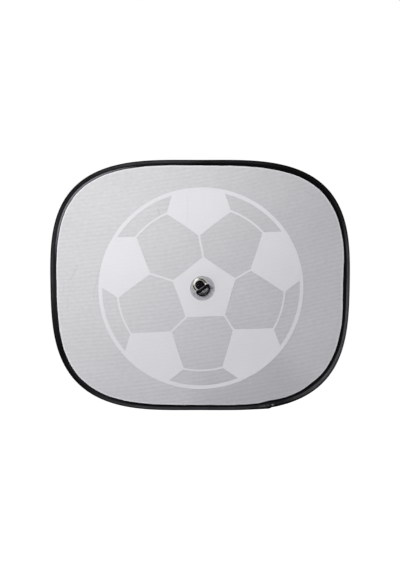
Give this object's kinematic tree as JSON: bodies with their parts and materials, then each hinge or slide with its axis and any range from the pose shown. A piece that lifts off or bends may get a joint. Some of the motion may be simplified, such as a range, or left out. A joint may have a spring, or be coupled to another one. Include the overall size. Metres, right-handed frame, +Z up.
{
  "type": "car side window sunshade",
  "caption": "Pop-up mesh sunshade for a car's side window: rounded panel with a football print, wired black hem, centre eyelet and a clear suction cup.",
  "frame": {"origin": "middle of the whole object's box: on the eyelet's axis, halfway between the suction cup's rim and the back of the stud", "axes": "+X along the shade's width, +Z up its height, -Y out of the printed side, towards the window glass"},
  "size_m": [0.4406, 0.0182, 0.3682],
  "materials": {
    "clear_pvc": "clear, slightly smoky soft PVC",
    "black_plastic": "moulded, satin",
    "mesh_fabric": "fine open polyester mesh, pale grey",
    "white_ink": "matt white screen print on the mesh",
    "black_tape": "ribbed black polyester tape, sewn",
    "spring_steel": "drawn spring wire",
    "ferrule_steel": "crimped sleeve",
    "nickel_plate": "bright nickel plate",
    "washer_plate": "nickel plate"
  },
  "bodies": {
    "window_cup": {"suction_cup": "clear_pvc", "retaining_stud": "black_plastic"},
    "shade": {"mesh_panel": "mesh_fabric", "ball_print": "white_ink", "edge_binding": "black_tape", "spring_wire": "spring_steel", "wire_ferrule": "ferrule_steel", "eyelet": "nickel_plate", "eyelet_washer": "washer_plate"}
  },
  "joints": [
    {"name": "shade_turn", "type": "hinge", "parent": "window_cup", "child": "shade", "pos_m": [0, 0, 0], "axis": [0, 1, 0], "continuous": true}
  ]
}
